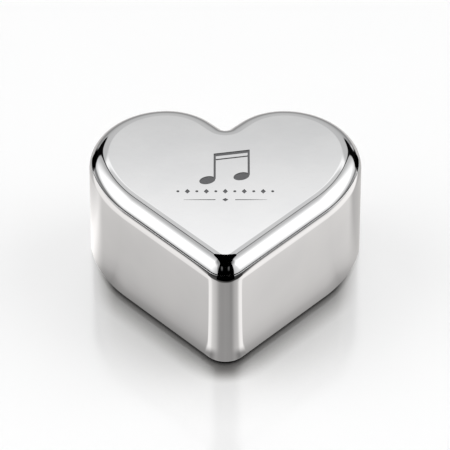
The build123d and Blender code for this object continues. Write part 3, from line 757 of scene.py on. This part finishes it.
def lid_pad_piece():
    """The lid pad: a formula gives the crown. The cloth solver moves it sideways and a little in height."""
    o = pad_blank(PAD_SCALE)
    mesh = o.modifiers.new("mesh", "REMESH")
    mesh.mode = "VOXEL"
    mesh.voxel_size = PAD_VOXEL
    applied(o)
    rest = np.array([v.co for v in o.data.vertices], float)
    top_z = PAD_GLUED_Z * PAD_SCALE
    pinned = o.vertex_groups.new(name="glued")
    pinned.add([i for i, p in enumerate(rest) if p[2] > top_z], 1.0, "REPLACE")
    cloth = o.modifiers.new("stuffing", "CLOTH")
    cloth.settings.quality = 5
    cloth.settings.use_pressure = True
    cloth.settings.uniform_pressure_force = PAD_PRESSURE
    cloth.settings.vertex_group_mass = "glued"
    cloth.settings.effector_weights.gravity = 0.0
    cloth.collision_settings.use_collision = False
    cloth.point_cache.frame_start, cloth.point_cache.frame_end = 1, PAD_FRAMES
    scene = bpy.context.scene
    for f in range(1, PAD_FRAMES + 1):
        scene.frame_set(f)
    applied(o)
    scene.frame_set(1)
    co = np.array([v.co for v in o.data.vertices], float)
    move = co - rest
    far = np.linalg.norm(move, axis=1)
    move *= np.minimum(1.0, PAD_CAP / np.maximum(far, 1e-9))[:, None]
    co = (rest + move) / PAD_SCALE
    depth = inset(co[:, :2])
    crown = np.clip((depth - PAD_RIM) / PAD_RISE, 0, 1) ** PAD_CURVE
    low = co[:, 2] < PAD_LOW_Z
    face_z = PAD_FACE_Z - PAD_CROWN * crown + (co[:, 2] - rest[:, 2] / PAD_SCALE) * PAD_SHARE
    co[:, 2] = np.where(low, face_z, np.minimum(co[:, 2], PAD_BACK_Z))
    rub = 0.03 * np.sin(co[:, 0] * 0.9 + 1.3 * np.sin(co[:, 1] * 0.33)) * np.cos(co[:, 1] * 0.7)
    co[:, 2] = np.where(low, np.maximum(co[:, 2] + rub, PAD_LOWEST_Z), co[:, 2])
    o.data.vertices.foreach_set("co", (co * MM).astype(np.float32).ravel())
    o.data.polygons.foreach_set("use_smooth", [True] * len(o.data.polygons))
    o.data.materials.clear()
    o.data.materials.append(VELVET)
    o.data.update()
    sub = o.modifiers.new("smooth", "SUBSURF")
    sub.levels = sub.render_levels = 1
    return o


pad = lid_pad_piece()
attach(pad, "lid")
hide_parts("lid_pad")


# ---------------------------------------------------------------- studio
def profile(g, value, top, points):
    """A curve through points of (value, result); value runs from 0 to top."""
    n = g.node("ShaderNodeFloatCurve")
    peak = max(r for _, r in points)
    curve = n.mapping.curves[0]
    first, last = points[0], points[-1]
    curve.points[0].location = (first[0] / top, first[1] / peak)
    curve.points[1].location = (last[0] / top, last[1] / peak)
    for v, r in points[1:-1]:
        curve.points.new(v / top, r / peak)
    n.mapping.update()
    g.put(n.inputs["Value"], g.math("DIVIDE", value, top))
    return g.mul(n.outputs[0], peak)


def studio_world():
    """White boxes left and right, a grey wall behind, and darker overhead and in front."""
    w = bpy.data.worlds.new("studio")
    bpy.context.scene.world = w
    w.use_nodes = True
    w.node_tree.nodes.clear()
    g = Graph(w.node_tree)
    d = g.node("ShaderNodeSeparateXYZ")
    g.put(d.inputs[0], g.node("ShaderNodeTexCoord").outputs["Generated"])
    x, y, z = d.outputs
    el = g.mul(g.math("ARCSINE", z), DEGREES)
    up = g.math("MAXIMUM", el, 0.0)
    az = g.mul(g.math("ARCTAN2", x, y), DEGREES)
    a = g.math("ABSOLUTE", az)
    right = g.rise(x, -0.1, 0.1)

    over = g.rise(el, 57.0, 63.0)
    # in front
    front = g.sub(146.0, g.mul(g.math("POWER", up, 2.0), 0.0095))
    ahead = g.rise(g.sub(a, front), -4.0, 4.0)
    # soft boxes
    inner = g.rise(a, 28.0, 31.0)
    peak = g.mul(g.rise(a, 36.0, 66.0), g.rise(a, 150.0, 84.0))
    peak = g.mul(peak, g.sub(1.0, g.mul(right, g.rise(a, 92.0, 112.0, 0.0, 0.5))))
    height = g.mul(g.rise(el, 0.0, 22.0), g.rise(el, 59.0, 45.0))
    box = g.add(0.8, g.mul(g.mul(peak, height), 1.4))
    box = g.mul(box, g.add(0.97, g.mul(right, 0.08)))
    # wall behind, brightest in a narrow band
    wall = profile(g, up, 90.0, [(0, 0.4), (4, 0.44), (12, 0.64), (21, 0.8), (37, 0.86), (90, 0.86)])
    wall = g.add(wall, g.rise(el, 38.8, 41.8, 0.0, 0.8))
    wall = g.sub(wall, g.rise(el, 42.0, 44.5, 0.0, 0.66))
    # dark gaps between wall and boxes: a slit that opens outwards towards the floor
    near_edge = [(0, 34), (5, 32.5), (10, 26), (14, 21), (20, 20), (25, 22.5), (30, 26), (60, 27), (90, 27)]
    far_edge = [(0, 54), (5, 53), (8, 50), (12, 46), (16, 42), (22, 37), (29, 33), (60, 32.5), (90, 32)]
    near = profile(g, up, 90.0, near_edge)
    far = profile(g, up, 90.0, far_edge)
    near = g.add(near, g.mul(right, 1.0))
    gap = g.mul(g.rise(g.sub(a, near), -1.0, 1.6), g.rise(g.sub(a, far), 1.6, -1.0))
    light = g.blend(inner, wall, box)
    light = g.mul(light, g.sub(1.0, gap))
    light = g.blend(over, light, g.rise(el, 50.0, 88.0, 0.36, 0.62))
    light = g.blend(ahead, light, g.rise(el, 0.0, 70.0, 0.3, 0.5))
    light = g.add(light, 0.004)
    back = g.node("ShaderNodeBackground")
    g.put(back.inputs["Strength"], light)
    back.inputs["Color"].default_value = (1.0, 1.0, 1.0, 1.0)
    out = g.node("ShaderNodeOutputWorld")
    w.node_tree.links.new(back.outputs[0], out.inputs[0])


def stage_object(name, verts, faces, finish, seen_by):
    """A piece of the studio; seen_by lists the rays that find it."""
    data = bpy.data.meshes.new(name)
    data.from_pydata([tuple(v) for v in verts], [], faces)
    data.materials.append(finish)
    o = bpy.data.objects.new(name, data)
    bpy.context.scene.collection.objects.link(o)
    for kind in ("camera", "diffuse", "glossy", "transmission", "volume_scatter", "shadow"):
        setattr(o, "visible_" + kind, kind in seen_by)
    return o


def glow(name, strength, cover=None, tint=(1.0, 1.0, 1.0)):
    """Light of its own. With cover, only its front shows, and cover says how far it hides what is behind."""
    m = bpy.data.materials.new(name)
    m.use_nodes = True
    m.node_tree.nodes.clear()
    g = Graph(m.node_tree)
    e = g.node("ShaderNodeEmission")
    e.inputs["Color"].default_value = (*tint, 1.0)
    g.put(e.inputs["Strength"], strength(g) if callable(strength) else strength)
    out = g.node("ShaderNodeOutputMaterial")
    last = e.outputs[0]
    if cover:
        mix = g.node("ShaderNodeMixShader")
        facing = g.sub(1.0, g.node("ShaderNodeNewGeometry").outputs["Backfacing"])
        g.put(mix.inputs[0], g.mul(facing, cover(g)))
        m.node_tree.links.new(g.node("ShaderNodeBsdfTransparent").outputs[0], mix.inputs[1])
        m.node_tree.links.new(last, mix.inputs[2])
        last = mix.outputs[0]
    m.node_tree.links.new(last, out.inputs[0])
    return m


def grid_faces(rows, cols, loop=False, flip=False):
    """Four-sided faces over rows of points; flip turns them over."""
    faces = []
    for r in range(rows - 1):
        for k in range(cols if loop else cols - 1):
            j = (k + 1) % cols
            f = (r * cols + k, r * cols + j, (r + 1) * cols + j, (r + 1) * cols + k)
            faces.append(f[::-1] if flip else f)
    return faces


def polar(cx, cy, r, degrees, z):
    """A point at a bearing from straight ahead (-Y), turning towards +X; millimetres in, metres out."""
    t = math.radians(degrees)
    return ((cx + r * math.sin(t)) * MM, (cy - r * math.cos(t)) * MM, z * MM)


def position_mm(g):
    """The point's own x, y and z in millimetres."""
    n = g.node("ShaderNodeSeparateXYZ")
    g.put(n.inputs[0], g.place())
    return n.outputs


def ao_painted_shade(g, reach, power):
    """Painted shade from an ambient occlusion node: 1 in the open, less where something stands within reach.
    """
    n = g.node("ShaderNodeAmbientOcclusion", samples=8)
    n.inputs["Distance"].default_value = reach
    return g.math("POWER", n.outputs["AO"], power)


def studio_floor():
    """Pale floor. Part of the shadow round the foot is painted, by nearness to the box and round its tip."""
    m, g, s = material("pale_floor", Metallic=0.0, Roughness=0.12, IOR=1.75)
    s.inputs["Emission Color"].default_value = (1.0, 1.0, 1.0, 1.0)
    x, y, _ = position_mm(g)
    side = g.math("ABSOLUTE", x)
    # painted shade: ambient occlusion darkens the floor near the box
    painted_light_share = g.mul(ao_painted_shade(g, 0.0095, 1.9), ao_painted_shade(g, 0.034, 0.75))
    # painted shadow: a darker patch on the floor round the tip of the box
    ahead = g.add(y, 35.0)
    tip = g.math("SQRT", g.add(g.mul(x, x), g.mul(ahead, ahead)))
    tip = g.mul(g.rise(tip, 17.0, 9.5, 0.0, 0.62), g.mul(g.rise(side, 10.0, 1.0), g.rise(y, -37.0, -40.0)))
    painted_light_share = g.mul(painted_light_share, g.sub(1.0, tip))
    # no painted shade on the floor beside the lobes, from 36 to 46 mm out to each side
    painted_light_share = g.blend(g.rise(side, 36.0, 46.0), painted_light_share, 1.0)
    paint = g.mix(g.noise(g.place(), 0.02, 2.0), (0.79, 0.79, 0.79), (0.81, 0.81, 0.81))
    # the painted shade turns warmer as it darkens
    warm_in_painted_shade = g.mix(painted_light_share, (0.79, 0.765, 0.725), paint)
    g.put(s.inputs["Base Color"], g.mix(painted_light_share, (0.0, 0.0, 0.0), warm_in_painted_shade))
    # the floor also glows a little, and the painted shade dims that glow as well
    g.put(s.inputs["Emission Strength"], g.mul(painted_light_share, 0.225))
    verts = [polar(0, 0, r, 360 * k / STAGE_STEPS, 0) for r in FLOOR_RADII for k in range(STAGE_STEPS)]
    faces = grid_faces(len(FLOOR_RADII), STAGE_STEPS, True, flip=True)
    stage_object("floor", verts, faces, m, ("camera", "diffuse", "transmission", "shadow"))


def floor_light():
    """The lit floor as the polished walls see it: pools of light at the sides, grey and then dark ahead."""
    def tone(g):
        x, y, _ = position_mm(g)
        side = g.math("ABSOLUTE", x)
        right = g.rise(x, -10.0, 20.0)
        wall_at = g.add(g.mul(g.add(y, 40.5), 0.936), 5.8)
        edge = g.math("MINIMUM", g.math("MAXIMUM", wall_at, 0.0), 40.0)
        off = g.math("MAXIMUM", g.sub(side, edge), 0.0)
        # painted shadow: the glow is dimmest at the foot of the wall, where the shadow round the box shows in
        # the polished walls
        beside = [(0, 0.36), (3.4, 0.5), (9, 0.76), (17, 0.87), (29, 0.92), (37, 0.98), (42, 1.25), (53, 1.4),
                  (80, 1.43), (115, 1.47), (160, 1.3), (215, 0.82), (300, 0.6), (500, 0.5)]
        base = profile(g, off, 500.0, beside)
        base = g.add(base, g.mul(right, g.rise(off, 130.0, 90.0, 0.0, 0.13)))
        back = g.math("MAXIMUM", y, 0.0)
        fading = [(0, 1.45), (20, 1.4), (28, 1.22), (40, 0.95), (50, 0.83), (90, 0.78), (500, 0.7)]
        behind = profile(g, back, 500.0, fading)
        behind = g.blend(right, behind, g.rise(back, 50.0, 120.0, 0.68, 0.85))
        base = g.blend(g.rise(g.sub(y, g.mul(g.sub(side, 45.0), 0.75)), 2.0, 14.0), base, behind)
        front = g.sub(-38.0, y)
        angle = g.mul(g.math("ARCTAN2", side, front), DEGREES)
        far = g.math("SQRT", g.add(g.mul(x, x), g.mul(front, front)))
        lit = profile(g, angle, 180.0, [(0, 0.5), (24, 0.51), (31, 0.6), (42, 0.84), (60, 1.1), (72, 1.5),
                                        (84, 1.5), (90, 1.3), (180, 1.3)])
        dimmer = g.mul(g.rise(angle, 12.0, 30.0, 0.0, 0.2), g.rise(angle, 66.0, 54.0))
        lit = g.mul(lit, g.sub(1.0, g.mul(right, dimmer)))
        # painted shade: the glow is dimmed close to the tip of the box
        lit = g.mul(lit, g.sub(1.0, g.mul(g.rise(angle, 20.0, 66.0, 0.0, 0.7), g.rise(far, 13.0, 9.0))))
        reach = profile(g, angle, 180.0, [(0, 62), (20, 64), (42, 82), (62, 92), (80, 104), (180, 104)])
        lit = g.blend(g.rise(g.sub(far, reach), 13.0, -11.0), g.rise(x, -20.0, 20.0, 0.11, 0.05), lit)
        out = g.blend(g.rise(angle, 80.0, 84.0), lit, base)
        outer, beyond = g.sub(side, 44.0), g.sub(y, 15.0)
        bearing = g.mul(g.math("ARCTAN2", outer, beyond), DEGREES)
        away = g.math("SQRT", g.add(g.mul(outer, outer), g.mul(beyond, beyond)))
        wedge = g.mul(g.rise(bearing, 33.0, 36.0), g.rise(bearing, 57.0, 54.0))
        return g.mul(out, g.sub(1.0, g.mul(wedge, g.rise(away, 85.0, 130.0))))

    verts = [polar(0, 0, r, 360 * k / STAGE_STEPS, GLOW_Z) for r in GLOW_RADII for k in range(STAGE_STEPS)]
    faces = grid_faces(len(GLOW_RADII), STAGE_STEPS, True, flip=True)
    finish = glow("floor_glow", tone, lambda g: 1.0, (1.0, 0.977, 0.96))
    stage_object("floor_light", verts, faces, finish, ("glossy",))


def backdrop():
    """Pale dome that only the camera sees."""
    steps, rows = 64, 16
    verts = []
    for r in range(rows + 1):
        e = math.radians(DOME_LOW + DOME_SPAN * r / rows)
        out, up = DOME_R * math.cos(e), DOME_R * math.sin(e)
        verts += [polar(0, 0, out, 360 * k / steps, up) for k in range(steps)]
    faces = grid_faces(rows + 1, steps, True)
    stage_object("backdrop", verts, faces, glow("backdrop_glow", 0.98), ("camera",))


def horizon_flag():
    """Band round the horizon, only in reflections: grey behind, darker ahead, a black gap on each side."""
    def tone(g):
        x, y, z = position_mm(g)
        a = g.mul(g.math("ABSOLUTE", g.math("ARCTAN2", x, y)), DEGREES)
        low = g.rise(z, 34.0, 0.0, 0.0, 0.4)
        around = profile(g, a, 180.0, [(0, 0.45), (36, 0.4), (40.5, 0.0), (56.5, 0.0), (60, 0.3), (92, 0.3),
                                       (104, 0.1), (180, 0.06)])
        return g.add(around, g.mul(low, g.mul(g.rise(a, 54.0, 60.0), g.rise(a, 104.0, 94.0))))

    def cover(g):
        x, _, z = position_mm(g)
        top = g.rise(x, -20.0, 20.0, 76.0, 58.0)
        return g.rise(g.sub(z, top), 0.0, -34.0)

    verts = [polar(0, 0, FLAG_R, 360 * k / STAGE_STEPS, z) for z in FLAG_LEVELS for k in range(STAGE_STEPS)]
    faces = grid_faces(len(FLAG_LEVELS), STAGE_STEPS, True, flip=True)
    stage_object("horizon_flag", verts, faces, glow("flag_band", tone, cover), ("glossy",))


def tip_flag():
    """Small black hood round the tip of the lid, seen only in reflections.

    left and right give how far it reaches to each side, in degrees, at each angle over the tip.
    """
    left = [(-30, 34), (0, 38), (20, 38), (30, 37.5), (40, 36.5), (50, 34.5), (60, 32), (70, 29), (78, 27),
            (90, 28), (102, 31), (114, 33.5), (126, 35.5), (132, 33), (134, 15), (137.5, 9)]
    right = [(-30, 36), (0, 42), (20, 45), (30, 45), (40, 44), (50, 42), (60, 39.5), (70, 35), (78, 32),
             (90, 30.5), (102, 32.5), (114, 33.5), (126, 35.5), (132, 32), (134, 15), (137.5, 9)]

    def glint(g):
        x, y, z = position_mm(g)
        off = g.math("DIVIDE", g.math("ABSOLUTE", x), HOOD_R)
        spot = g.mul(g.mul(g.rise(off, 0.2, 0.3), g.rise(off, 0.42, 0.33)), g.rise(y, -40.5, -42.0))
        return g.mul(g.mul(spot, g.rise(z, 43.0, 45.4)), g.rise(z, 47.0, 46.0, 0.0, 0.2))

    verts = []
    for (along_it, low), (_, high) in zip(left, right):
        t = math.radians(along_it)
        for k in range(HOOD_COLS):
            c = math.radians(-low + (high + low) * k / (HOOD_COLS - 1))
            y = HOOD_Y - HOOD_R * math.cos(c) * math.cos(t)
            z = HOOD_Z + HOOD_R * math.cos(c) * math.sin(t)
            verts.append((HOOD_R * math.sin(c) * MM, y * MM, z * MM))
    stage_object("tip_flag", verts, grid_faces(len(left), HOOD_COLS), glow("flag_black", glint), ("glossy",))


def camera():
    """The camera at the height and distance that the outline was fitted with."""
    data = bpy.data.cameras.new("camera")
    data.sensor_width = CAMERA_SENSOR
    data.lens = CAMERA_LENS
    data.shift_x = CAMERA_SHIFT
    data.clip_start, data.clip_end = 0.1, 20.0
    o = bpy.data.objects.new("camera", data)
    bpy.context.scene.collection.objects.link(o)
    aim, e = Vector(CAMERA_AIM), math.radians(CAMERA_ELEVATION)
    back = Vector((0.0, -math.cos(e), math.sin(e)))
    o.location = aim + back * CAMERA_FAR
    o.rotation_euler = (-back).to_track_quat("-Z", "Y").to_euler()
    bpy.context.scene.camera = o


studio_world()
studio_floor()
backdrop()
floor_light()
horizon_flag()
tip_flag()
camera()
bpy.context.scene.view_settings.view_transform = "Standard"
